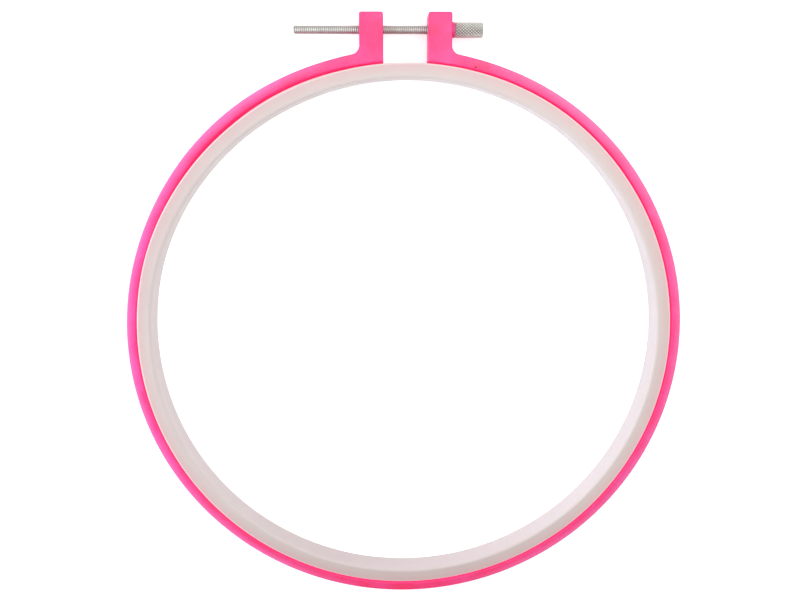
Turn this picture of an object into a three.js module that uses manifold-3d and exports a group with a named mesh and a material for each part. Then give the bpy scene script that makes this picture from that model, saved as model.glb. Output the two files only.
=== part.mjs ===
// An embroidery hoop: a round inner ring, a split outer ring with two lugs, and the screw that draws the
// lugs together so that cloth is held taut between the rings. The hoop lies flat on its back. +Z is up
// through the rings, +Y points at the lugs, and the screw lies along X with its knurled head at +X.
// All sizes are in millimetres.

import * as THREE from 'three';
import { mergeVertices } from 'three/addons/utils/BufferGeometryUtils.js';
import Module from 'manifold-3d';

const wasm = await Module();
wasm.setup();

// Driving dimensions of the rings
const ringHeight = 9;
const innerRingRadius = 100;
const innerRingWall = 5.3;
const innerRingMouthRound = 1.2;
const innerRingEdgeRound = 0.4;
const outerRingWall = 3.35;
const outerRingEdgeRound = 0.5;

// The outer ring is open in this state, so it stands off the inner ring, and its arms bow outwards a little
// between the lugs and the sides, the left arm more than the right one.
const ringClearance = 0.5;
const leftArmBow = 0.55;
const rightArmBow = 0.4;
const armBowSpan = THREE.MathUtils.degToRad(70);

// The split and the two lugs beside it
const splitGap = 15.7;
const lugThickness = 8.4;
const lugReach = 13.05;
const lugFootFillet = 3.2;
const lugEndRound = 0.8;

// The screw: a threaded rod with a knurled head pressed on its end, and the washer under the head
const screwStandOff = 7.55;
const rodDiameter = 3;
const rodTail = 23.05;
const rodChamfer = 0.5;
const headDiameter = 5.4;
const headLength = 9.8;
const headChamfer = 0.35;
const headSocketDepth = 7;
const washerDiameter = 5.4;
const washerThickness = 1;
const washerChamfer = 0.15;

// The captive nut in the left lug
const nutAcrossFlats = 5.5;
const nutThickness = 2.4;
const nutInset = 0.4;

// Clearances between the pieces of the clamp
const holeClearance = 0.2;
const threadClearance = 0.15;
const pocketClearance = 0.15;
const seatGap = 0.1;

// Facets, and how many passes find where an edge crosses a line
const ringSteps = 144;
const turnedSteps = 32;
const roundSteps = 3;
const edgeSteps = 2;
const crossingPasses = 6;

// Worked out from the above
const ringOutside = innerRingRadius + ringClearance + outerRingWall;
const lugEndY = ringOutside + lugReach;
const lugInsideX = splitGap / 2;
const lugOutsideX = lugInsideX + lugThickness;
const screwY = ringOutside + screwStandOff;
const screwZ = ringHeight / 2;
const washerX = lugOutsideX + seatGap;
const headX = washerX + washerThickness + seatGap;
const nutX = -lugOutsideX + nutInset;
const pocketDepth = nutInset + nutThickness + seatGap;

const materials = {
  pinkPlastic: new THREE.MeshStandardMaterial({ color: 0xf95fa3, roughness: 0.35, metalness: 0 }),
  whitePlastic: new THREE.MeshStandardMaterial({ color: 0xe8dcd8, roughness: 0.4, metalness: 0 }),
  steel: new THREE.MeshStandardMaterial({ color: 0xb9b8b2, roughness: 0.35, metalness: 1 }),
};

// A point at a radius and a turn, counted clockwise from the split at +Y when seen from above
function polar(radius, turn) {
  return new THREE.Vector2(radius * Math.sin(turn), radius * Math.cos(turn));
}

// How far the opened outer ring stands off the inner ring at a turn
function standOff(turn) {
  const fromSplit = Math.min(turn, 2 * Math.PI - turn);
  if (fromSplit > armBowSpan) return ringClearance;
  const bow = turn < Math.PI ? rightArmBow : leftArmBow;
  return ringClearance + bow * Math.sin(Math.PI * fromSplit / armBowSpan) ** 2;
}

function innerEdge(turn) {
  return innerRingRadius + standOff(turn);
}

function outerEdge(turn) {
  return innerEdge(turn) + outerRingWall;
}

// The turn at which an edge of the ring, moved outwards by an offset, crosses the line at a distance x from
// the middle of the split. The edge's radius changes slowly with the turn, so a few passes settle it.
function turnAtX(edge, offset, x, isRightArm) {
  let fromSplit = 0;
  for (let pass = 0; pass < crossingPasses; pass += 1) {
    const turn = isRightArm ? fromSplit : 2 * Math.PI - fromSplit;
    fromSplit = Math.asin(x / (edge(turn) + offset));
  }
  return isRightArm ? fromSplit : 2 * Math.PI - fromSplit;
}

function traceEdge(shape, edge, fromTurn, toTurn) {
  const steps = Math.round(ringSteps * Math.abs(toTurn - fromTurn) / (2 * Math.PI));
  for (let step = 0; step <= steps; step += 1) {
    const turn = THREE.MathUtils.lerp(fromTurn, toTurn, step / steps);
    const point = polar(edge(turn), turn);
    shape.lineTo(point.x, point.y);
  }
}

// The end of a lug, from its left side over its two rounded corners to its right side
function traceLugEnd(shape, leftX, rightX) {
  const cornerY = lugEndY - lugEndRound;
  shape.absarc(leftX + lugEndRound, cornerY, lugEndRound, Math.PI, Math.PI / 2, true);
  shape.absarc(rightX - lugEndRound, cornerY, lugEndRound, Math.PI / 2, 0, true);
}

// Plan of the outer ring: up the right lug, clockwise round the outside, up the left lug and back inside
function outerRingPlan() {
  const footX = lugOutsideX + lugFootFillet;
  const rightFootTurn = turnAtX(outerEdge, lugFootFillet, footX, true);
  const leftFootTurn = turnAtX(outerEdge, lugFootFillet, footX, false);
  const rightFoot = polar(outerEdge(rightFootTurn) + lugFootFillet, rightFootTurn);
  const leftFoot = polar(outerEdge(leftFootTurn) + lugFootFillet, leftFootTurn);
  const rightSplitTurn = turnAtX(innerEdge, 0, lugInsideX, true);
  const leftSplitTurn = turnAtX(innerEdge, 0, lugInsideX, false);
  const start = polar(innerEdge(rightSplitTurn), rightSplitTurn);

  const plan = new THREE.Shape();
  plan.moveTo(start.x, start.y);
  traceLugEnd(plan, lugInsideX, lugOutsideX);
  const rightFootAngle = 1.5 * Math.PI - rightFootTurn;
  plan.absarc(rightFoot.x, rightFoot.y, lugFootFillet, Math.PI, rightFootAngle, false);
  traceEdge(plan, outerEdge, rightFootTurn, leftFootTurn);
  const leftFootAngle = 3.5 * Math.PI - leftFootTurn;
  plan.absarc(leftFoot.x, leftFoot.y, lugFootFillet, leftFootAngle, 2 * Math.PI, false);
  traceLugEnd(plan, -lugOutsideX, -lugInsideX);
  traceEdge(plan, innerEdge, leftSplitTurn, rightSplitTurn);
  return plan;
}

function toSolid(geometry) {
  const bare = geometry.clone();
  bare.deleteAttribute('normal');
  bare.deleteAttribute('uv');
  const merged = mergeVertices(bare);
  const mesh = new wasm.Mesh({
    numProp: 3,
    vertProperties: new Float32Array(merged.attributes.position.array),
    triVerts: new Uint32Array(merged.index.array),
  });
  return new wasm.Manifold(mesh);
}

function toGeometry(solid) {
  const mesh = solid.getMesh();
  const geometry = new THREE.BufferGeometry();
  geometry.setAttribute('position', new THREE.BufferAttribute(mesh.vertProperties, 3));
  geometry.setIndex(new THREE.BufferAttribute(mesh.triVerts, 1));
  geometry.computeVertexNormals();
  return geometry;
}

// A round bar along X between two places on the screw's axis
function barOnScrewAxis(diameter, fromX, toX) {
  const bar = new THREE.CylinderGeometry(diameter / 2, diameter / 2, toX - fromX, turnedSteps);
  bar.rotateZ(Math.PI / 2);
  bar.translate((fromX + toX) / 2, screwY, screwZ);
  return bar;
}

// A six-sided bar along X, two of its flats level, centred on the screw's axis
function hexagonOnScrewAxis(acrossFlats, fromX, toX) {
  const cornerRadius = acrossFlats / 2 / Math.cos(Math.PI / 6);
  const bar = new THREE.CylinderGeometry(cornerRadius, cornerRadius, toX - fromX, 6);
  bar.rotateY(Math.PI / 6);
  bar.rotateZ(Math.PI / 2);
  bar.translate((fromX + toX) / 2, screwY, screwZ);
  return bar;
}

function makeOuterRing() {
  const body = new THREE.ExtrudeGeometry(outerRingPlan(), {
    depth: ringHeight - 2 * outerRingEdgeRound,
    curveSegments: roundSteps,
    bevelThickness: outerRingEdgeRound,
    bevelSize: outerRingEdgeRound,
    bevelOffset: -outerRingEdgeRound,
    bevelSegments: edgeSteps,
  });
  body.translate(0, 0, outerRingEdgeRound);
  const past = 1;
  const screwHole = barOnScrewAxis(rodDiameter + 2 * holeClearance, -lugOutsideX - past, lugOutsideX + past);
  const nutPocket = hexagonOnScrewAxis(
    nutAcrossFlats + 2 * pocketClearance, -lugOutsideX - past, -lugOutsideX + pocketDepth);
  const solid = toSolid(body).subtract(toSolid(screwHole)).subtract(toSolid(nutPocket));
  return new THREE.Mesh(toGeometry(solid), materials.pinkPlastic);
}

// Half section of the inner ring, radius across and height up. Its inner top edge has the large round that
// cloth is drawn over, and the other edges are only eased.
function innerRingSection() {
  const inside = innerRingRadius - innerRingWall;
  const mouth = innerRingMouthRound;
  const edge = innerRingEdgeRound;
  const section = new THREE.Path();
  section.moveTo(inside, edge);
  section.absarc(inside + edge, edge, edge, Math.PI, 1.5 * Math.PI, false);
  section.absarc(innerRingRadius - edge, edge, edge, 1.5 * Math.PI, 2 * Math.PI, false);
  section.absarc(innerRingRadius - edge, ringHeight - edge, edge, 0, Math.PI / 2, false);
  section.absarc(inside + mouth, ringHeight - mouth, mouth, Math.PI / 2, Math.PI, false);
  section.lineTo(inside, edge);
  return section.getPoints(edgeSteps);
}

function makeInnerRing() {
  const ring = new THREE.Mesh(new THREE.LatheGeometry(innerRingSection(), ringSteps), materials.whitePlastic);
  ring.rotation.x = Math.PI / 2;
  return ring;
}

// A turned piece whose profile is [distance along the screw, radius] pairs, laid along +X from a place on
// the screw's axis
function turnedOnScrewAxis(profile, x, material) {
  const points = profile.map(([along, radius]) => new THREE.Vector2(radius, along));
  const piece = new THREE.Mesh(new THREE.LatheGeometry(points, turnedSteps), material);
  piece.rotation.z = -Math.PI / 2;
  piece.position.set(x, screwY, screwZ);
  return piece;
}

function makeThreadedRod() {
  const start = -lugOutsideX - rodTail;
  const length = headX + headSocketDepth - seatGap - start;
  const radius = rodDiameter / 2;
  return turnedOnScrewAxis([
    [0, 0],
    [0, radius - rodChamfer],
    [rodChamfer, radius],
    [length - rodChamfer, radius],
    [length, radius - rodChamfer],
    [length, 0],
  ], start, materials.steel);
}

function makeKnurledHead() {
  const radius = headDiameter / 2;
  const socket = rodDiameter / 2 + threadClearance;
  return turnedOnScrewAxis([
    [headSocketDepth, 0],
    [headSocketDepth, socket],
    [0, socket],
    [0, radius - headChamfer],
    [headChamfer, radius],
    [headLength - headChamfer, radius],
    [headLength, radius - headChamfer],
    [headLength, 0],
  ], headX, materials.steel);
}

function makeThrustWasher() {
  const radius = washerDiameter / 2;
  const hole = rodDiameter / 2 + threadClearance;
  return turnedOnScrewAxis([
    [0, hole],
    [0, radius - washerChamfer],
    [washerChamfer, radius],
    [washerThickness - washerChamfer, radius],
    [washerThickness, radius - washerChamfer],
    [washerThickness, hole],
    [0, hole],
  ], washerX, materials.pinkPlastic);
}

// The nut's corners are turned down at both faces, as on a machined nut
function makeHexNut() {
  const cornerRadius = nutAcrossFlats / 2 / Math.cos(Math.PI / 6);
  const faceRadius = nutAcrossFlats / 2;
  const cornerChamfer = (cornerRadius - faceRadius) * Math.tan(Math.PI / 6);
  const envelope = turnedOnScrewAxis([
    [0, 0],
    [0, faceRadius],
    [cornerChamfer, cornerRadius],
    [nutThickness - cornerChamfer, cornerRadius],
    [nutThickness, faceRadius],
    [nutThickness, 0],
  ], nutX, materials.steel);
  envelope.updateMatrix();
  const blank = hexagonOnScrewAxis(nutAcrossFlats, nutX, nutX + nutThickness);
  const threadHole = barOnScrewAxis(
    rodDiameter + 2 * threadClearance, nutX - nutThickness, nutX + 2 * nutThickness);
  const solid = toSolid(blank)
    .intersect(toSolid(envelope.geometry.applyMatrix4(envelope.matrix)))
    .subtract(toSolid(threadHole));
  return new THREE.Mesh(toGeometry(solid), materials.steel);
}

const pieces = {
  outer_ring: makeOuterRing(),
  inner_ring: makeInnerRing(),
  hex_nut: makeHexNut(),
  thrust_washer: makeThrustWasher(),
  threaded_rod: makeThreadedRod(),
  knurled_head: makeKnurledHead(),
};

const hoop = new THREE.Group();
for (const [name, piece] of Object.entries(pieces)) {
  piece.name = name;
  hoop.add(piece);
}

// The origin is the middle of the hoop's footprint, on its underside
const footprint = new THREE.Box3().setFromObject(hoop, true);
const middle = footprint.getCenter(new THREE.Vector3());
hoop.position.set(-middle.x, -middle.y, -footprint.min.z);

const model = new THREE.Group();
model.add(hoop);

export default model;
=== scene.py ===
"""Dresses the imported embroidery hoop: moulded rings, a threaded screw with a knurled head, light and
camera.

Everything is in metres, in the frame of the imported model: +Z up through the rings, +Y towards the lugs
and +X along the screw towards its head.
"""

import math

import bmesh
import bpy
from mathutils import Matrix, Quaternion, Vector
from mathutils.geometry import tessellate_polygon


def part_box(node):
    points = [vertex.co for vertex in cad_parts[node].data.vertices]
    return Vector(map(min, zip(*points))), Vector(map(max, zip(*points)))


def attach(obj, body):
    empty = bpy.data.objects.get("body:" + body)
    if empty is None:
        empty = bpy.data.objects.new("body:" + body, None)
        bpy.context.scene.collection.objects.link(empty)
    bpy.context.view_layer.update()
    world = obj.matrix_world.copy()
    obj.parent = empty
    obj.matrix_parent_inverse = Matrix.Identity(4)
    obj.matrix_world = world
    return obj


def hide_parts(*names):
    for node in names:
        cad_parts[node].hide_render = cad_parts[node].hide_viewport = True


MM = 0.001

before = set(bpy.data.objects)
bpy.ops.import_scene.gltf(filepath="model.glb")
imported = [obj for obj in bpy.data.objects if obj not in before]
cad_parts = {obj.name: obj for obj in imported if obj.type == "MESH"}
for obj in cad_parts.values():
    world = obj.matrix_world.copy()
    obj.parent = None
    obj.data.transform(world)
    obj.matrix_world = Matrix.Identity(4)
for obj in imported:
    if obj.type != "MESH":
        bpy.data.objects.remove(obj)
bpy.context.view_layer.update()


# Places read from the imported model


def middle(node):
    low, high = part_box(node)
    return (low + high) / 2


ring_low, ring_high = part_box("inner_ring")
RING_CENTRE = Vector((middle("inner_ring").x, middle("inner_ring").y, 0))
RING_HEIGHT = ring_high.z - ring_low.z
INNER_RING_RADIUS = (ring_high.x - ring_low.x) / 2
LUG_END_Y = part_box("outer_ring")[1].y - RING_CENTRE.y
SCREW_AXIS = middle("knurled_head")
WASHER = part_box("thrust_washer")
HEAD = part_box("knurled_head")
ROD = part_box("threaded_rod")
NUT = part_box("hex_nut")

# Ring sizes that the boxes don't give
INNER_RING_WALL = 5.3 * MM
INNER_RING_EDGE = 0.4 * MM
MOUTH_ROUND = 1.2 * MM
OUTER_RING_WALL = 3.35 * MM
OUTER_RING_EDGE = 0.5 * MM
RING_CLEARANCE = 0.5 * MM
LEFT_ARM_BOW = 0.55 * MM
RIGHT_ARM_BOW = 0.4 * MM
ARM_BOW_SPAN = math.radians(70)
LUG_INSIDE_X = 7.85 * MM
LUG_THICKNESS = 8.4 * MM
LUG_OUTSIDE_X = LUG_INSIDE_X + LUG_THICKNESS
LUG_END_ROUND = 0.8 * MM
LUG_FOOT_FILLET = 3.2 * MM
FOOT_SWELL = 0.7 * MM
FOOT_SWELL_SPREAD = math.radians(14)

# The inner ring is a little out of round. Each bulge has a turn and a spread in degrees, and a height
BULGES = (
    (337, 19, -0.25 * MM),
    (33, 16, 0.3 * MM),
    (289, 14, 0.3 * MM),
)

# Screw sizes that the boxes don't give
ROD_RADIUS = (ROD[1].z - ROD[0].z) / 2
ROD_CHAMFER = 0.5 * MM
THREAD_PITCH = 0.7 * MM
THREAD_DEPTH = 0.13 * MM
HEAD_RADIUS = (HEAD[1].z - HEAD[0].z) / 2
HEAD_CHAMFER = 0.2 * MM
SOCKET_DEPTH = 7 * MM
KNURLS_AROUND = 15
KNURL_PERIOD = 1.15 * MM
KNURL_DEPTH = 0.34 * MM
WASHER_EDGE = 0.2 * MM

# Over 0.5 the thread's crests and roots are flat, and over 1 the knurl's points are
THREAD_STEEPNESS = 0.68
KNURL_STEEPNESS = 1.25

# The screw's holes, and the nut in its pocket
LUG_HOLE_RADIUS = ROD_RADIUS + 0.2 * MM
SLIDING_RADIUS = ROD_RADIUS + 0.15 * MM
COUNTERSINK = 0.2 * MM
NUT_ACROSS_FLATS = NUT[1].z - NUT[0].z
NUT_FACE_SHARE = 0.97
NUT_CORNER_ANGLE = math.radians(30)
POCKET_CLEARANCE = 0.15 * MM
POCKET_DEPTH = 2.9 * MM
CUTTER_OVERSHOOT = 1 * MM

# How finely the pieces are divided
RING_STEPS = 720
EDGE_STEPS = 6
TURNED_STEPS = 64
THREAD_STEPS = 10
THREAD_SIDES = 32
KNURL_STEPS = 10
NUT_STEPS_PER_FLAT = 12
TURN_SEARCH_STEPS = 8
MERGE_DISTANCE = 1e-7
SHORTEST_EDGE = 1e-8

# Points this far past a rounded edge keep the face beside it shaded flat
SUPPORT = 0.04 * MM
LONG_STRETCH = 2 * MM

# Edges that turn by more than this many degrees stay sharp
MOULDED_SHARP = 40
THREAD_SHARP = 75
KNURL_SHARP = 24
NUT_SHARP = 20


# Mesh helpers


def new_object(name, bm):
    """Puts a bmesh into the scene as an object, and frees it."""
    mesh = bpy.data.meshes.new(name)
    bm.to_mesh(mesh)
    bm.free()
    new = bpy.data.objects.new(name, mesh)
    bpy.context.scene.collection.objects.link(new)
    return new


def finish_mesh(mesh_name, bm, material, body, replaced, sharp_angle):
    """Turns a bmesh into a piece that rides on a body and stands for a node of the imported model."""
    bmesh.ops.remove_doubles(bm, verts=bm.verts, dist=MERGE_DISTANCE)
    bmesh.ops.dissolve_degenerate(bm, edges=bm.edges, dist=SHORTEST_EDGE)
    bmesh.ops.recalc_face_normals(bm, faces=bm.faces)
    piece = new_object(mesh_name, bm)
    shade(piece.data, sharp_angle)
    piece.data.materials.append(material)
    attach(piece, body)
    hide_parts(replaced)
    return piece


def shade(mesh, sharp_angle):
    mesh.polygons.foreach_set("use_smooth", [True] * len(mesh.polygons))
    mesh.set_sharp_from_angle(angle=math.radians(sharp_angle))


def mark(mesh, name, value_at):
    """Writes a value on each point, from the point's distance and turn about the rings' axis."""
    marks = mesh.attributes.new(name, "FLOAT", "POINT")
    for vert, point_mark in zip(mesh.vertices, marks.data):
        place = vert.co.xy - RING_CENTRE.xy
        turn = math.atan2(place.x, place.y) % (2 * math.pi)
        point_mark.value = value_at(place.length, turn)


def bridge(bm, loops, closed=False):
    """Quads between loops of vertices, each loop joined to the next one."""
    pairs = list(zip(loops, loops[1:]))
    if closed:
        pairs.append((loops[-1], loops[0]))
    for lower, upper in pairs:
        count = len(lower)
        for i in range(count):
            j = (i + 1) % count
            bm.faces.new((lower[i], lower[j], upper[j], upper[i]))


def vertex_round_screw(bm, x, radius, angle):
    """A vertex about the screw's axis, its angle counted from +Y towards +Z."""
    y = SCREW_AXIS.y + radius * math.cos(angle)
    z = SCREW_AXIS.z + radius * math.sin(angle)
    return bm.verts.new((x, y, z))


def turned_loop(bm, x, radius, steps):
    """A circle of vertices round the screw's axis."""
    return [vertex_round_screw(bm, x, radius, 2 * math.pi * step / steps) for step in range(steps)]


def turned(profile, closed=False):
    """A piece turned about the screw's axis from (x, radius) pairs."""
    bm = bmesh.new()
    bridge(bm, [turned_loop(bm, x, radius, TURNED_STEPS) for x, radius in profile], closed)
    return bm


def quarter(radius, steps=EDGE_STEPS):
    """(across, up) of a rounded edge, from flat on its face to upright on its side."""
    for step in range(steps + 1):
        angle = math.pi / 2 * step / steps
        yield radius * (1 - math.sin(angle)), radius * (1 - math.cos(angle))


def supported_edge(radius, steps=EDGE_STEPS):
    """A rounded edge with one more point past each of its ends."""
    return [(radius + SUPPORT, 0.0), *quarter(radius, steps), (0.0, radius + SUPPORT)]


# Outer ring


def polar(radius, turn):
    """A point at a turn counted clockwise from the split, seen from above."""
    return Vector((radius * math.sin(turn), radius * math.cos(turn)))


def inner_edge(turn):
    """The opened ring stands off the inner ring and bows outwards beside the lugs."""
    from_split = min(turn, 2 * math.pi - turn)
    radius = INNER_RING_RADIUS + RING_CLEARANCE
    if from_split > ARM_BOW_SPAN:
        return radius
    bow = RIGHT_ARM_BOW if turn < math.pi else LEFT_ARM_BOW
    return radius + bow * math.sin(math.pi * from_split / ARM_BOW_SPAN) ** 2


def outer_edge(turn):
    """The wall swells a little where an arm runs into its lug."""
    from_split = min(turn, 2 * math.pi - turn)
    swell = FOOT_SWELL * math.exp(-((from_split / FOOT_SWELL_SPREAD) ** 2))
    return inner_edge(turn) + OUTER_RING_WALL + swell


def turn_at_x(edge, offset, x, is_right_arm):
    """The turn at which an edge, moved outwards by an offset, is x away from the split's middle."""
    from_split = 0.0
    for _ in range(TURN_SEARCH_STEPS):
        turn = from_split if is_right_arm else 2 * math.pi - from_split
        from_split = math.asin(x / (edge(turn) + offset))
    return from_split if is_right_arm else 2 * math.pi - from_split


def arc(centre, radius, start, end, steps):
    for step in range(steps + 1):
        angle = start + (end - start) * step / steps
        yield centre + radius * Vector((math.cos(angle), math.sin(angle)))


def edge_points(edge, start, end):
    steps = round(RING_STEPS * abs(end - start) / (2 * math.pi))
    for step in range(steps + 1):
        turn = start + (end - start) * step / steps
        yield polar(edge(turn), turn)


def lug_end(left_x, right_x):
    """A lug's two rounded corners, clockwise."""
    corner_y = LUG_END_Y - LUG_END_ROUND
    left = Vector((left_x + LUG_END_ROUND, corner_y))
    right = Vector((right_x - LUG_END_ROUND, corner_y))
    yield from arc(left, LUG_END_ROUND, math.pi, math.pi / 2, EDGE_STEPS)
    yield from arc(right, LUG_END_ROUND, math.pi / 2, 0, EDGE_STEPS)


def lug_foot(is_right_arm):
    """The fillet between a lug and the ring: its turn, its centre and where it meets the ring."""
    centre_x = LUG_OUTSIDE_X + LUG_FOOT_FILLET
    turn = turn_at_x(outer_edge, LUG_FOOT_FILLET, centre_x, is_right_arm)
    centre = polar(outer_edge(turn) + LUG_FOOT_FILLET, turn)
    on_ring = 1.5 * math.pi - turn
    return turn, centre, on_ring if is_right_arm else on_ring + 2 * math.pi


def outer_ring_outline():
    """Plan of the outer ring, clockwise seen from above, about the rings' centre."""
    right_split_turn = turn_at_x(inner_edge, 0, LUG_INSIDE_X, True)
    left_split_turn = turn_at_x(inner_edge, 0, LUG_INSIDE_X, False)
    right_foot_turn, right_foot, right_foot_end = lug_foot(True)
    left_foot_turn, left_foot, left_foot_start = lug_foot(False)
    points = list(lug_end(LUG_INSIDE_X, LUG_OUTSIDE_X))
    points += arc(right_foot, LUG_FOOT_FILLET, math.pi, right_foot_end, 2 * EDGE_STEPS)
    points += edge_points(outer_edge, right_foot_turn, left_foot_turn)
    points += arc(left_foot, LUG_FOOT_FILLET, left_foot_start, 2 * math.pi, 2 * EDGE_STEPS)
    points += lug_end(-LUG_OUTSIDE_X, -LUG_INSIDE_X)
    points += edge_points(inner_edge, left_split_turn, right_split_turn)
    return with_supports(without_repeats(points))


def without_repeats(points):
    kept = []
    for point in points:
        if not kept or (point - kept[-1]).length > SUPPORT / 4:
            kept.append(point)
    if (kept[0] - kept[-1]).length < SUPPORT / 4:
        kept.pop()
    return kept


def with_supports(points):
    """Adds a point near both ends of each long straight stretch, clear of the rounded edge."""
    result = []
    for point, following in zip(points, points[1:] + points[:1]):
        result.append(point)
        stretch = following - point
        if stretch.length > LONG_STRETCH:
            step = stretch.normalized() * (OUTER_RING_EDGE + 2 * SUPPORT)
            result.extend((point + step, following - step))
    return result


def outward_mitres(points):
    """For each point of a clockwise outline, the vector that moves its two sides outwards by one."""
    mitres = []
    for i, point in enumerate(points):
        before = (point - points[i - 1]).normalized()
        after = (points[(i + 1) % len(points)] - point).normalized()
        normal_before = Vector((-before.y, before.x))
        normal_after = Vector((-after.y, after.x))
        mitre = normal_before + normal_after
        mitres.append(mitre / (1 + normal_before.dot(normal_after)))
    return mitres


def edge_profile(round_radius):
    """(inset, height) from the underside's border, up the side, to the top's border."""
    lower = supported_edge(round_radius)
    upper = [(inset, RING_HEIGHT - height) for inset, height in reversed(lower)]
    return lower + upper


def rounded_plate(outline, round_radius):
    """A plate of the rings' height with this outline and rounded edges."""
    bm = bmesh.new()
    mitres = outward_mitres(outline)
    loops = []
    for inset, height in edge_profile(round_radius):
        loop = []
        for point, mitre in zip(outline, mitres):
            flat = point - mitre * inset
            loop.append(bm.verts.new((flat.x + RING_CENTRE.x, flat.y + RING_CENTRE.y, height)))
        loops.append(loop)
    bridge(bm, loops)
    cap = [Vector((vert.co.x, vert.co.y, 0)) for vert in loops[0]]
    for a, b, c in tessellate_polygon([cap]):
        for loop in (loops[0], loops[-1]):
            bm.faces.new((loop[a], loop[b], loop[c]))
    return bm


def cut(piece, bm):
    """Cuts a closed bmesh out of a piece."""
    bmesh.ops.recalc_face_normals(bm, faces=bm.faces)
    cutter = new_object("cutter", bm)
    cutter_mesh = cutter.data
    boolean = piece.modifiers.new("cut", "BOOLEAN")
    boolean.operation = "DIFFERENCE"
    boolean.solver = "EXACT"
    boolean.object = cutter
    bpy.context.view_layer.update()
    graph = bpy.context.evaluated_depsgraph_get()
    result = bpy.data.meshes.new_from_object(piece.evaluated_get(graph))
    piece.modifiers.clear()
    uncut = piece.data
    piece.data = result
    bpy.data.meshes.remove(uncut)
    bpy.data.objects.remove(cutter)
    bpy.data.meshes.remove(cutter_mesh)


def screw_hole_cutter():
    """The hole through both lugs, eased where it meets their faces."""
    flare = LUG_HOLE_RADIUS + COUNTERSINK
    past = LUG_OUTSIDE_X + 2 * CUTTER_OVERSHOOT
    right = [
        (LUG_INSIDE_X, flare),
        (LUG_INSIDE_X + COUNTERSINK, LUG_HOLE_RADIUS),
        (LUG_OUTSIDE_X - COUNTERSINK, LUG_HOLE_RADIUS),
        (LUG_OUTSIDE_X, flare),
        (past, flare),
        (past, 0.0),
    ]
    left = [(-x, radius) for x, radius in reversed(right)]
    return turned(left + right)


def hexagon_loop(bm, x, across_flats):
    return turned_loop(bm, x, across_flats / 2 / math.cos(math.pi / 6), 6)


def nut_pocket_cutter():
    """The nut's pocket in the left lug's outer face, eased at its mouth."""
    bm = bmesh.new()
    width = NUT_ACROSS_FLATS + 2 * POCKET_CLEARANCE
    mouth = -LUG_OUTSIDE_X
    loops = [
        hexagon_loop(bm, mouth - CUTTER_OVERSHOOT, width + 2 * COUNTERSINK),
        hexagon_loop(bm, mouth, width + 2 * COUNTERSINK),
        hexagon_loop(bm, mouth + COUNTERSINK, width),
        hexagon_loop(bm, mouth + POCKET_DEPTH, width),
    ]
    bridge(bm, loops)
    bm.faces.new(loops[0])
    bm.faces.new(loops[-1])
    return bm


def inner_wall_mark(distance, turn):
    """1 on the wall that faces the inner ring, fading to 0 over its rounded edges."""
    depth = distance - inner_edge(turn)
    return min(1.0, max(0.0, 1 - depth / OUTER_RING_EDGE))


def make_outer_ring(material):
    bm = rounded_plate(outer_ring_outline(), OUTER_RING_EDGE)
    piece = finish_mesh(
        "moulded_outer_ring", bm, material, "outer_ring", "outer_ring", MOULDED_SHARP
    )
    cut(piece, screw_hole_cutter())
    cut(piece, nut_pocket_cutter())
    shade(piece.data, MOULDED_SHARP)
    mark(piece.data, "inner_wall", inner_wall_mark)


# Inner ring


def section_corner(radius, inwards, height, upwards, edge):
    """A rounded corner of the section, from flat on its face to upright on its side."""
    return [(radius + inwards * across, height + upwards * up) for across, up in edge]


def inner_ring_section():
    """(radius, height) round the section: the mouth is the inner top edge that cloth is drawn over."""
    inside = INNER_RING_RADIUS - INNER_RING_WALL
    outside = INNER_RING_RADIUS
    top = RING_HEIGHT
    edge = supported_edge(INNER_RING_EDGE)
    mouth = supported_edge(MOUTH_ROUND, 2 * EDGE_STEPS)
    section = section_corner(inside, 1, 0.0, 1, reversed(edge))
    section += section_corner(outside, -1, 0.0, 1, edge)
    section += section_corner(outside, -1, top, -1, reversed(edge))
    section += section_corner(inside, 1, top, -1, mouth)
    return section


def out_of_round(turn):
    bulge = 0.0
    for peak, spread, height in BULGES:
        off_peak = (math.degrees(turn) - peak + 180) % 360 - 180
        bulge += height * math.exp(-((off_peak / spread) ** 2))
    return bulge


def section_radius(distance, turn):
    """The radius that a point has in the round ring's section."""
    return distance - out_of_round(turn)


def make_inner_ring(material):
    bm = bmesh.new()
    loops = []
    for radius, height in inner_ring_section():
        loop = []
        for step in range(RING_STEPS):
            turn = 2 * math.pi * step / RING_STEPS
            point = polar(radius + out_of_round(turn), turn)
            loop.append(bm.verts.new((point.x + RING_CENTRE.x, point.y + RING_CENTRE.y, height)))
        loops.append(loop)
    bridge(bm, loops, closed=True)
    piece = finish_mesh(
        "moulded_inner_ring", bm, material, "inner_ring", "inner_ring", MOULDED_SHARP
    )
    mark(piece.data, "section_radius", section_radius)


# Screw


def thread_height(phase):
    """A rolled thread's form, 1 at its crest and 0 at its root."""
    return min(1.0, max(0.0, 0.5 + THREAD_STEEPNESS * math.cos(2 * math.pi * phase)))


def chamfered(x, low, high, radius, chamfer):
    """The radius of a bar with a chamfer at both ends."""
    to_end = min(x - low, high - x)
    return radius - max(0.0, chamfer - to_end)


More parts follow.
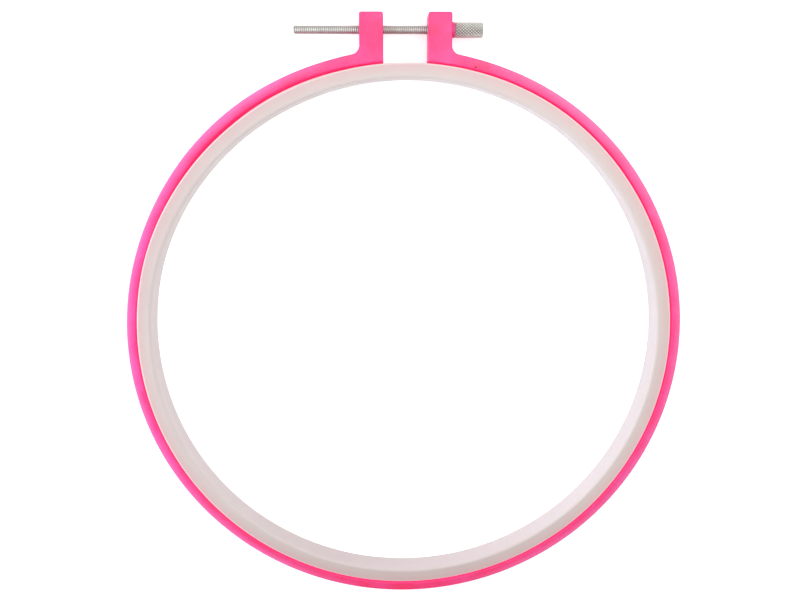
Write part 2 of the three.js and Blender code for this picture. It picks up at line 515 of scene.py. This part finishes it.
def make_threaded_rod(material):
    """Rows of vertices follow the helix, and those past an end are gathered on its rim."""
    bm = bmesh.new()
    low, high = ROD[0].x, ROD[1].x
    root = ROD_RADIUS - THREAD_DEPTH
    turns = math.ceil((high - low) / THREAD_PITCH) + 1
    loops = []
    for row in range(turns * THREAD_STEPS + 1):
        on_thread = root + THREAD_DEPTH * thread_height(row / THREAD_STEPS)
        loop = []
        for side in range(THREAD_SIDES):
            along = row / THREAD_STEPS + side / THREAD_SIDES - 1
            x = min(high, max(low, low + along * THREAD_PITCH))
            radius = chamfered(x, low, high, ROD_RADIUS, ROD_CHAMFER)
            if low < x < high:
                radius = min(radius, on_thread)
            loop.append(vertex_round_screw(bm, x, radius, 2 * math.pi * side / THREAD_SIDES))
        loops.append(loop)
    spiral_bridge(bm, loops)
    finish_mesh("rolled_thread", bm, material, "screw", "threaded_rod", THREAD_SHARP)


def spiral_bridge(bm, loops):
    """Quads between rows of a helix: a row's last side meets the first side of the row a pitch on."""
    for row, (lower, upper) in enumerate(zip(loops, loops[1:])):
        for side in range(THREAD_SIDES - 1):
            bm.faces.new((lower[side], lower[side + 1], upper[side + 1], upper[side]))
        ahead = row + THREAD_STEPS
        if ahead + 1 < len(loops):
            bm.faces.new((lower[-1], loops[ahead][0], loops[ahead + 1][0], upper[-1]))
    bm.faces.new(list(reversed(loops[0])))
    bm.faces.new(loops[-1])


def knurl_height(around, along):
    """Diamond knurl of two crossing sets of grooves: 0 in a groove, 1 on a point."""
    first = abs((around + along) % 1 - 0.5)
    second = abs((around - along) % 1 - 0.5)
    return 1 - 2 * max(first, second)


def make_knurled_head(material):
    """A knurled bar with a plain socket for the rod in its face towards the lug."""
    bm = bmesh.new()
    low, high = HEAD[0].x, HEAD[1].x
    columns = KNURLS_AROUND * KNURL_STEPS
    rows = round((high - low) / KNURL_PERIOD * KNURL_STEPS)
    socket = [turned_loop(bm, x, SLIDING_RADIUS, columns) for x in (low + SOCKET_DEPTH, low)]
    knurl = []
    for row in range(rows + 1):
        x = low + (high - low) * row / rows
        limit = chamfered(x, low, high, HEAD_RADIUS, HEAD_CHAMFER)
        loop = []
        for column in range(columns):
            height = KNURL_STEEPNESS * knurl_height(column / KNURL_STEPS, row / KNURL_STEPS)
            radius = min(limit, HEAD_RADIUS - KNURL_DEPTH * (1 - min(1, height)))
            loop.append(vertex_round_screw(bm, x, radius, 2 * math.pi * column / columns))
        knurl.append(loop)
    bridge(bm, socket + knurl[:1])
    knurl_faces(bm, knurl)
    bm.faces.new(socket[0])
    bm.faces.new(knurl[-1])
    finish_mesh("knurled_grip", bm, material, "screw", "knurled_head", KNURL_SHARP)


def knurl_faces(bm, loops):
    """Triangles whose edges lie along the knurl's grooves."""
    for row, (lower, upper) in enumerate(zip(loops, loops[1:])):
        for column in range(len(lower)):
            after = (column + 1) % len(lower)
            a, b, c, d = lower[column], lower[after], upper[after], upper[column]
            if (column + row + 1) % KNURL_STEPS == 0:
                bm.faces.new((a, b, d))
                bm.faces.new((b, c, d))
            else:
                bm.faces.new((a, b, c))
                bm.faces.new((a, c, d))


def make_washer(material):
    low, high = WASHER[0].x, WASHER[1].x
    radius = (WASHER[1].z - WASHER[0].z) / 2
    left = [(low + up, radius - across) for across, up in quarter(WASHER_EDGE)]
    right = [(high - up, radius - across) for across, up in quarter(WASHER_EDGE)]
    profile = [(low, SLIDING_RADIUS)] + left + list(reversed(right)) + [(high, SLIDING_RADIUS)]
    bm = turned(profile, closed=True)
    finish_mesh(
        "pink_washer", bm, material, "washer", "thrust_washer", MOULDED_SHARP
    )


def nut_face(bm, x, inwards):
    """Loops round one face of the nut: its hole, the circle where its corners start to drop, and its
    hexagon."""
    flat_radius = NUT_ACROSS_FLATS / 2
    circle_radius = NUT_FACE_SHARE * flat_radius
    columns = 6 * NUT_STEPS_PER_FLAT
    loops = ([], [], [])
    for column in range(columns):
        angle = 2 * math.pi * column / columns
        off_flat = angle % (math.pi / 3) - math.pi / 6
        hexagon_radius = flat_radius / math.cos(off_flat)
        drop = (hexagon_radius - circle_radius) * math.tan(NUT_CORNER_ANGLE)
        places = (
            (x, SLIDING_RADIUS),
            (x, circle_radius),
            (x + inwards * drop, hexagon_radius),
        )
        for loop, (place_x, radius) in zip(loops, places):
            loop.append(vertex_round_screw(bm, place_x, radius, angle))
    return loops


def make_nut(material):
    """A hexagon nut whose corners are turned down at both faces."""
    bm = bmesh.new()
    left = nut_face(bm, NUT[0].x, 1)
    right = nut_face(bm, NUT[1].x, -1)
    bridge(bm, [*left, *reversed(right)], closed=True)
    finish_mesh("captive_nut", bm, material, "outer_ring", "hex_nut", NUT_SHARP)


# Colours as the screen shows them, from 0 to 255. A pair is mixed from its first to its second

PINK = ((255, 44, 120), (255, 78, 160))
# Painted bluish light from the left on the pink's faces
PINK_LIT_BLUE_ON_LEFT = ((255, 54, 142), (255, 88, 182))
# Painted shade on the pink's faces across from the lugs, darker and a deeper red
PINK_PAINTED_SHADE_FROM_LUGS = ((250, 34, 102), (250, 66, 142))
# Painted light along the pink's outer edges, from its colour on the right to its colour on the left
PINK_PAINTED_LIGHT_RIGHT_TO_LEFT = ((255, 124, 184), (255, 124, 194))
# The wall that faces the inner ring: its painted crimson and its painted glow
PAINTED_GLOW_WALL_PINK = (255, 66, 130)
PAINTED_WALL_GLOW = (255, 50, 124)
SPECK = (186, 0, 34)

WHITE = ((215, 205, 201), (219, 210, 206))
# Painted pink reflection on the white towards its outside
WHITE_WITH_PAINTED_PINK_REFLECTION = ((219, 189, 189), (224, 195, 195))
# Painted light: the white's inner wall lighter and cooler than its faces
WHITE_INNER_WALL_PAINTED_LIGHT = (226, 214, 215)
# Painted highlight along the white's outer rim
WHITE_RIM_HIGHLIGHT = (228, 220, 220)

ROD_STEEL = ((193, 192, 187), (180, 179, 174))
HEAD_STEEL = ((224, 223, 219), (213, 212, 207))
# Painted shade in the grooves of the thread and the knurl
GROOVE_SHADE_ROD_TO_HEAD = ((146, 143, 140), (132, 129, 125))

# Colours that the shader takes as they are
PURE_WHITE = (1.0, 1.0, 1.0, 1.0)
# Painted shade: the white is darkened by this across from the lugs
WHITE_PAINTED_SHADE = (0.9, 0.87, 0.87, 1.0)

# Where the painted light and shade change along the rings, as shares of the inner ring's radius
BLUE_LIGHT_SHARE = 0.6
PINK_SHADE_SHARE = 0.5
WHITE_SHADE_SHARE = 0.35

# How far the faces' painted light and shade reach down, and the band of painted light in from the pink
# ring's outside
FACE_DEPTH = 0.9 * MM
PAINTED_LIGHT_BAND = 2.6 * MM
PALE_FROM_X = 3 * LUG_OUTSIDE_X
PALE_ON_RIGHT = 0.85

# Distances from the white ring's inner wall, and then from its outside, for its painted pink reflection,
# painted lighter wall and painted rim highlight
PINK_REFLECTION_START = 0.8 * MM
WALL_FADE = 0.9 * MM
RIM_HIGHLIGHT_START = 0.7 * MM
RIM_HIGHLIGHT_FULL = 0.3 * MM

# The layer at the screw's end faces in which the grooves' painted shade stops
END_FACE = 0.02 * MM

# The dark speck in the pink plastic
SPECK_RADIUS = 0.52 * MM
SPECK_CORE = 0.7 * SPECK_RADIUS
SPECK_FROM_AXIS = 101.33 * MM
SPECK_TURN = math.radians(14)

# A noise's scale, detail and roughness
PINK_MOTTLE = (90.0, 4.0, 0.6)
WHITE_MOTTLE = (60.0, 3.0, 0.6)
TARNISH = (420.0, 4.0, 0.6)
PLASTIC_DRIFT = (160.0, 4.0, 0.5)
STEEL_DRIFT = (900.0, 3.0, 0.5)
PLASTIC_WAVE = (90.0, 2.0, 0.5)
PLASTIC_GRAIN = (2600.0, 2.0, 0.5)
STEEL_GRAIN = (7000.0, 2.0, 0.5)

# Where most of a noise lies
NOISE_LOW = 0.3
NOISE_HIGH = 0.7
TARNISH_LOW = 0.35

# How far a noise raises the surface, and how strongly it shows
WAVE_HEIGHT = 0.05 * MM
PLASTIC_GRAIN_HEIGHT = 0.012 * MM
PLASTIC_BUMP = 0.35
STEEL_GRAIN_HEIGHT = 0.006 * MM
STEEL_BUMP = 0.4

# A roughness drifts over the surface between two values
PINK_ROUGHNESS = (0.34, 0.46)
INNER_WALL_ROUGHNESS = 0.95
WHITE_ROUGHNESS = (0.36, 0.5)
STEEL_ROUGHNESS = (0.4, 0.55)

# How strongly the wall that faces the inner ring glows: a painted glow that stands in for light passing
# through the plastic
PAINTED_WALL_GLOW_STRENGTH = 0.4


# Material helpers


def set_inputs(tree, node, inputs):
    """Each input takes a value or another node's output."""
    for socket, value in inputs.items():
        if isinstance(value, bpy.types.NodeSocket):
            tree.links.new(value, node.inputs[socket])
        else:
            node.inputs[socket].default_value = value


def add_node(tree, kind, inputs=None, **settings):
    node = tree.nodes.new(kind)
    for setting, value in settings.items():
        setattr(node, setting, value)
    set_inputs(tree, node, inputs or {})
    return node


def new_material(name):
    material = bpy.data.materials.new(name)
    material.use_nodes = True
    tree = material.node_tree
    shader = tree.nodes["Principled BSDF"]
    place = add_node(tree, "ShaderNodeTexCoord").outputs["Object"]
    return material, tree, shader, place


def noise(tree, place, form):
    scale, detail, roughness = form
    inputs = {"Vector": place, "Scale": scale, "Detail": detail, "Roughness": roughness}
    return add_node(tree, "ShaderNodeTexNoise", inputs).outputs["Fac"]


def calculate(tree, operation, *values):
    inputs = dict(enumerate(values))
    return add_node(tree, "ShaderNodeMath", inputs, operation=operation).outputs[0]


def multiply(tree, first, second):
    return calculate(tree, "MULTIPLY", first, second)


def map_range(tree, value, from_low, from_high, to_low, to_high):
    inputs = {
        "Value": value,
        "From Min": from_low,
        "From Max": from_high,
        "To Min": to_low,
        "To Max": to_high,
    }
    return add_node(tree, "ShaderNodeMapRange", inputs, clamp=True).outputs["Result"]


def rising(tree, value, low, high):
    """0 up to the low value and 1 from the high one on."""
    return map_range(tree, value, low, high, 0.0, 1.0)


def falling(tree, value, low, high):
    """1 up to the low value and 0 from the high one on."""
    return map_range(tree, value, low, high, 1.0, 0.0)


def mix_number(tree, factor, first, second):
    """A Mix node's sockets go by number here, because those of its kinds share their names."""
    inputs = {0: factor, 2: first, 3: second}
    return add_node(tree, "ShaderNodeMix", inputs, data_type="FLOAT").outputs[0]


def mix_colour(tree, factor, first, second):
    inputs = {0: factor, 6: first, 7: second}
    return add_node(tree, "ShaderNodeMix", inputs, data_type="RGBA").outputs[2]


def srgb(colour):
    """A colour of the screen in the shader's own linear values."""
    def linear(value):
        share = value / 255
        return share / 12.92 if share <= 0.04045 else ((share + 0.055) / 1.055) ** 2.4
    red, green, blue = colour
    return (linear(red), linear(green), linear(blue), 1.0)


def mix_pair(tree, factor, pair):
    """A mix of two colours of the screen."""
    return mix_colour(tree, factor, srgb(pair[0]), srgb(pair[1]))


def bump(tree, height, distance, strength, normal=None):
    inputs = {"Height": height, "Distance": distance, "Strength": strength}
    if normal is not None:
        inputs["Normal"] = normal
    return add_node(tree, "ShaderNodeBump", inputs).outputs["Normal"]


def coordinate(tree, place, axis):
    return add_node(tree, "ShaderNodeSeparateXYZ", {"Vector": place}).outputs[axis]


def distance_from_line(tree, place, point, across):
    """How far a place is from a line through a point. The line runs where across is 0."""
    flat = add_node(tree, "ShaderNodeMapping", {
        "Vector": place,
        "Location": [-at * share for at, share in zip(point, across)],
        "Scale": across,
    }).outputs["Vector"]
    return add_node(tree, "ShaderNodeVectorMath", {0: flat}, operation="LENGTH").outputs["Value"]


def near_faces(tree, place):
    """1 at the rings' top face and underside, fading to 0 a little way into the rings."""
    from_middle = calculate(tree, "SUBTRACT", coordinate(tree, place, "Z"), RING_HEIGHT / 2)
    off_middle = calculate(tree, "ABSOLUTE", from_middle)
    return rising(tree, off_middle, RING_HEIGHT / 2 - FACE_DEPTH, RING_HEIGHT / 2)


def across_from_lugs(tree, place, share):
    """1 where the rings are farthest from the lugs, fading to 0 over a share of their radius."""
    farthest = RING_CENTRE.y - INNER_RING_RADIUS
    lengthways = coordinate(tree, place, "Y")
    return falling(tree, lengthways, farthest, farthest + share * INNER_RING_RADIUS)


def drifting(tree, place, form, roughness):
    """A roughness that drifts over the surface with a noise of this form."""
    low, high = roughness
    return map_range(tree, noise(tree, place, form), NOISE_LOW, NOISE_HIGH, low, high)


def plastic_surface(tree, place):
    """A slow moulding wave with a fine grain on it."""
    wave = bump(tree, noise(tree, place, PLASTIC_WAVE), WAVE_HEIGHT, PLASTIC_BUMP)
    grain = noise(tree, place, PLASTIC_GRAIN)
    return bump(tree, grain, PLASTIC_GRAIN_HEIGHT, PLASTIC_BUMP, wave)


# Materials


def pink_of_faces(tree, place):
    """Mottled pink, with painted light and shade on its faces: a painted bluish light on the left,
    painted shade, a deeper red, across from the lugs, and painted light, paler, along their outer edges,
    most of all on the left."""
    mottle = rising(tree, noise(tree, place, PINK_MOTTLE), NOISE_LOW, NOISE_HIGH)
    on_face = near_faces(tree, place)
    sideways = coordinate(tree, place, "X")
    far_left = falling(tree, sideways, -INNER_RING_RADIUS, -BLUE_LIGHT_SHARE * INNER_RING_RADIUS)
    across = across_from_lugs(tree, place, PINK_SHADE_SHARE)
    colour = mix_pair(tree, mottle, PINK)
    # Painted light: the bluish light from the left, painted on the faces
    blue_lit_pink = mix_pair(tree, mottle, PINK_LIT_BLUE_ON_LEFT)
    colour = mix_colour(tree, multiply(tree, far_left, on_face), colour, blue_lit_pink)
    # Painted shade across from the lugs
    shaded_pink = mix_pair(tree, mottle, PINK_PAINTED_SHADE_FROM_LUGS)
    colour = mix_colour(tree, multiply(tree, across, on_face), colour, shaded_pink)

    # Painted light: the faces paler in a band along the outside, most of all on the left
    outside = INNER_RING_RADIUS + RING_CLEARANCE + OUTER_RING_WALL
    radius = distance_from_line(tree, place, RING_CENTRE, (1, 1, 0))
    is_outside = rising(tree, radius, outside - PAINTED_LIGHT_BAND, outside)
    to_left = falling(tree, sideways, -PALE_FROM_X, -LUG_OUTSIDE_X)
    to_right = map_range(tree, sideways, LUG_OUTSIDE_X, PALE_FROM_X, 0.0, PALE_ON_RIGHT)
    beside_lugs = calculate(tree, "MAXIMUM", to_left, to_right)
    painted_light_edge = multiply(tree, is_outside, multiply(tree, on_face, beside_lugs))
    return mix_colour(tree, painted_light_edge, colour, mix_pair(tree, to_left, PINK_PAINTED_LIGHT_RIGHT_TO_LEFT))


def with_speck(tree, place, colour):
    """Adds the dark speck in the pink plastic."""
    flat = polar(SPECK_FROM_AXIS, SPECK_TURN)
    centre = (flat.x + RING_CENTRE.x, flat.y + RING_CENTRE.y, RING_HEIGHT)
    vectors = {0: place, 1: centre}
    distance = add_node(tree, "ShaderNodeVectorMath", vectors, operation="DISTANCE").outputs["Value"]
    is_speck = falling(tree, distance, SPECK_CORE, SPECK_RADIUS)
    return mix_colour(tree, is_speck, colour, srgb(SPECK))


def pink_plastic():
    """Translucent pink. The wall that faces the inner ring is painted crimson and given a painted glow,
    which stand in for the light that the plastic lets through."""
    material, tree, shader, place = new_material("pink_plastic")
    inner_wall = add_node(tree, "ShaderNodeAttribute", attribute_name="inner_wall").outputs["Fac"]
    colour = pink_of_faces(tree, place)
    # Painted crimson on the wall that faces the inner ring
    colour = mix_colour(tree, inner_wall, colour, srgb(PAINTED_GLOW_WALL_PINK))
    roughness = drifting(tree, place, PLASTIC_DRIFT, PINK_ROUGHNESS)
    set_inputs(tree, shader, {
        "Base Color": with_speck(tree, place, colour),
        "Roughness": mix_number(tree, inner_wall, roughness, INNER_WALL_ROUGHNESS),
        "Normal": plastic_surface(tree, place),
        "IOR": 1.49,
        "Subsurface Weight": 0.8,
        "Subsurface Radius": (1.0, 0.15, 0.3),
        "Subsurface Scale": 2.0 * MM,
        "Emission Color": srgb(PAINTED_WALL_GLOW),
        "Emission Strength": map_range(tree, inner_wall, 0.0, 1.0, 0.0, PAINTED_WALL_GLOW_STRENGTH),
    })
    return material


def white_plastic():
    """White, with a painted pink reflection towards its outside, painted lighter down its inner wall, a
    painted highlight along its outer rim, and painted shade, a little duller, across from the lugs."""
    material, tree, shader, place = new_material("white_plastic")
    inside = INNER_RING_RADIUS - INNER_RING_WALL
    outside = INNER_RING_RADIUS
    radius = add_node(tree, "ShaderNodeAttribute", attribute_name="section_radius").outputs["Fac"]
    mottle = noise(tree, place, WHITE_MOTTLE)
    plain = mix_pair(tree, mottle, WHITE)
    # Painted pink reflection towards the outside
    with_pink_reflection = mix_pair(tree, mottle, WHITE_WITH_PAINTED_PINK_REFLECTION)
    colour = mix_colour(tree, rising(tree, radius, inside + PINK_REFLECTION_START, outside), plain, with_pink_reflection)
    # Painted light down the inner wall
    off_wall = rising(tree, radius, inside, inside + WALL_FADE)
    colour = mix_colour(tree, off_wall, srgb(WHITE_INNER_WALL_PAINTED_LIGHT), colour)
    # Painted highlight along the outer rim
    outmost = rising(tree, radius, outside - RIM_HIGHLIGHT_START, outside - RIM_HIGHLIGHT_FULL)
    is_rim_highlight = multiply(tree, outmost, near_faces(tree, place))
    colour = mix_colour(tree, is_rim_highlight, colour, srgb(WHITE_RIM_HIGHLIGHT))
    # Painted shade across from the lugs
    across = across_from_lugs(tree, place, WHITE_SHADE_SHARE)
    factors = {0: colour, 1: mix_colour(tree, across, PURE_WHITE, WHITE_PAINTED_SHADE)}
    colour = add_node(tree, "ShaderNodeVectorMath", factors, operation="MULTIPLY").outputs[0]
    set_inputs(tree, shader, {
        "Base Color": colour,
        "Roughness": drifting(tree, place, PLASTIC_DRIFT, WHITE_ROUGHNESS),
        "Normal": plastic_surface(tree, place),
        "IOR": 1.5,
        "Subsurface Weight": 0.7,
        "Subsurface Radius": (1.0, 0.7, 0.65),
        "Subsurface Scale": 1.5 * MM,
    })
    return material


def plated_steel():
    """Dull nickel plating, with painted shade in the grooves of the thread and the knurl but not on the
    screw's ends."""
    material, tree, shader, place = new_material("plated_steel")
    along = coordinate(tree, place, "X")
    on_head = rising(tree, along, HEAD[0].x - END_FACE, HEAD[0].x)
    off_tip = rising(tree, along, ROD[0].x, ROD[0].x + END_FACE)
    off_head_end = falling(tree, along, HEAD[1].x - END_FACE, HEAD[1].x)
    radius = distance_from_line(tree, place, SCREW_AXIS, (0, 1, 1))
    in_thread = falling(tree, radius, ROD_RADIUS - THREAD_DEPTH, ROD_RADIUS)
    in_knurl = falling(tree, radius, HEAD_RADIUS - KNURL_DEPTH, HEAD_RADIUS - KNURL_DEPTH / 3)
    groove_shade = mix_number(tree, on_head, in_thread, in_knurl)
    groove_shade = multiply(tree, groove_shade, multiply(tree, off_tip, off_head_end))
    tarnish = rising(tree, noise(tree, place, TARNISH), TARNISH_LOW, NOISE_HIGH)
    rod = mix_pair(tree, tarnish, ROD_STEEL)
    head = mix_pair(tree, tarnish, HEAD_STEEL)
    surface = mix_colour(tree, on_head, rod, head)
    # Painted shade in the grooves
    groove = mix_pair(tree, on_head, GROOVE_SHADE_ROD_TO_HEAD)
    set_inputs(tree, shader, {
        "Base Color": mix_colour(tree, groove_shade, surface, groove),
        "Metallic": 1.0,
        "Roughness": drifting(tree, place, STEEL_DRIFT, STEEL_ROUGHNESS),
        "Normal": bump(tree, noise(tree, place, STEEL_GRAIN), STEEL_GRAIN_HEIGHT, STEEL_BUMP),
    })
    return material


# Stage, light and camera

FLOOR_HALF_WIDTH = 1.5
FLOOR_GAP = 0.02 * MM
FLOOR_WHITE = (0.9, 0.9, 0.9, 1.0)
FLOOR_GLOW = 0.55
AMBIENT = 0.5

# Each softbox: its name, place, side, power and colour
SOFTBOXES = (
    ("window", (-0.4, 0.02, 0.135), 0.24, 1.14, (0.81, 0.9, 1.0)),
    ("overhead", (0.11, 0.15, 0.34), 0.4, 0.92, (1.0, 0.97, 0.95)),
)

CAMERA_PLACE = Vector((-8.963, 64.009, 285.83)) * MM
CAMERA_TURN = Vector((math.radians(-11.299), math.radians(-1.41), math.radians(-0.23)))
CAMERA_LENS = 34.2
CAMERA_SENSOR = 36.0
CAMERA_CLIP_START = 0.01


def seen_directly(tree):
    """1 for rays from the camera, a mirror or glass, and 0 for the rays that light the scene."""
    path = add_node(tree, "ShaderNodeLightPath").outputs
    seen = calculate(tree, "MAXIMUM", path["Is Camera Ray"], path["Is Glossy Ray"])
    return calculate(tree, "MAXIMUM", seen, path["Is Transmission Ray"])


def make_world():
    world = bpy.data.worlds.new("white_room")
    world.use_nodes = True
    tree = world.node_tree
    strength = map_range(tree, seen_directly(tree), 0.0, 1.0, AMBIENT, 1.0)
    set_inputs(tree, tree.nodes["Background"], {"Color": PURE_WHITE, "Strength": strength})
    bpy.context.scene.world = world


def make_floor():
    """White paper. Its glow brings it to the background's white where it is seen, and lights nothing."""
    bm = bmesh.new()
    bmesh.ops.create_grid(bm, x_segments=1, y_segments=1, size=FLOOR_HALF_WIDTH)
    floor = new_object("paper", bm)
    floor.location.z = -FLOOR_GAP
    material = bpy.data.materials.new("paper")
    material.use_nodes = True
    tree = material.node_tree
    tree.nodes.remove(tree.nodes["Principled BSDF"])
    strength = map_range(tree, seen_directly(tree), 0.0, 1.0, 0.0, FLOOR_GLOW)
    paper = add_node(tree, "ShaderNodeBsdfDiffuse", {"Color": FLOOR_WHITE}).outputs[0]
    glow = add_node(tree, "ShaderNodeEmission", {"Strength": strength}).outputs[0]
    surface = add_node(tree, "ShaderNodeAddShader", {0: paper, 1: glow}).outputs[0]
    set_inputs(tree, tree.nodes["Material Output"], {"Surface": surface})
    floor.data.materials.append(material)


def make_softboxes():
    """Each one faces the middle of the hoop."""
    for name, place, side, power, colour in SOFTBOXES:
        light = bpy.data.lights.new(name, "AREA")
        light.shape = "SQUARE"
        light.size = side
        light.energy = power
        light.color = colour
        lamp = bpy.data.objects.new(name, light)
        lamp.location = place
        lamp.rotation_mode = "QUATERNION"
        lamp.rotation_quaternion = (RING_CENTRE - Vector(place)).to_track_quat("-Z", "Y")
        bpy.context.scene.collection.objects.link(lamp)


def make_camera():
    data = bpy.data.cameras.new("camera")
    data.sensor_width = CAMERA_SENSOR
    data.lens = CAMERA_LENS
    data.clip_start = CAMERA_CLIP_START
    camera = bpy.data.objects.new("camera", data)
    camera.location = CAMERA_PLACE
    camera.rotation_mode = "QUATERNION"
    camera.rotation_quaternion = Quaternion(CAMERA_TURN)
    bpy.context.scene.collection.objects.link(camera)
    bpy.context.scene.camera = camera


# The scene

bpy.context.scene.view_settings.view_transform = "Standard"
make_camera()
make_world()
make_floor()
make_softboxes()

pink = pink_plastic()
white = white_plastic()
steel = plated_steel()
make_outer_ring(pink)
make_inner_ring(white)
make_washer(pink)
make_threaded_rod(steel)
make_knurled_head(steel)
make_nut(steel)
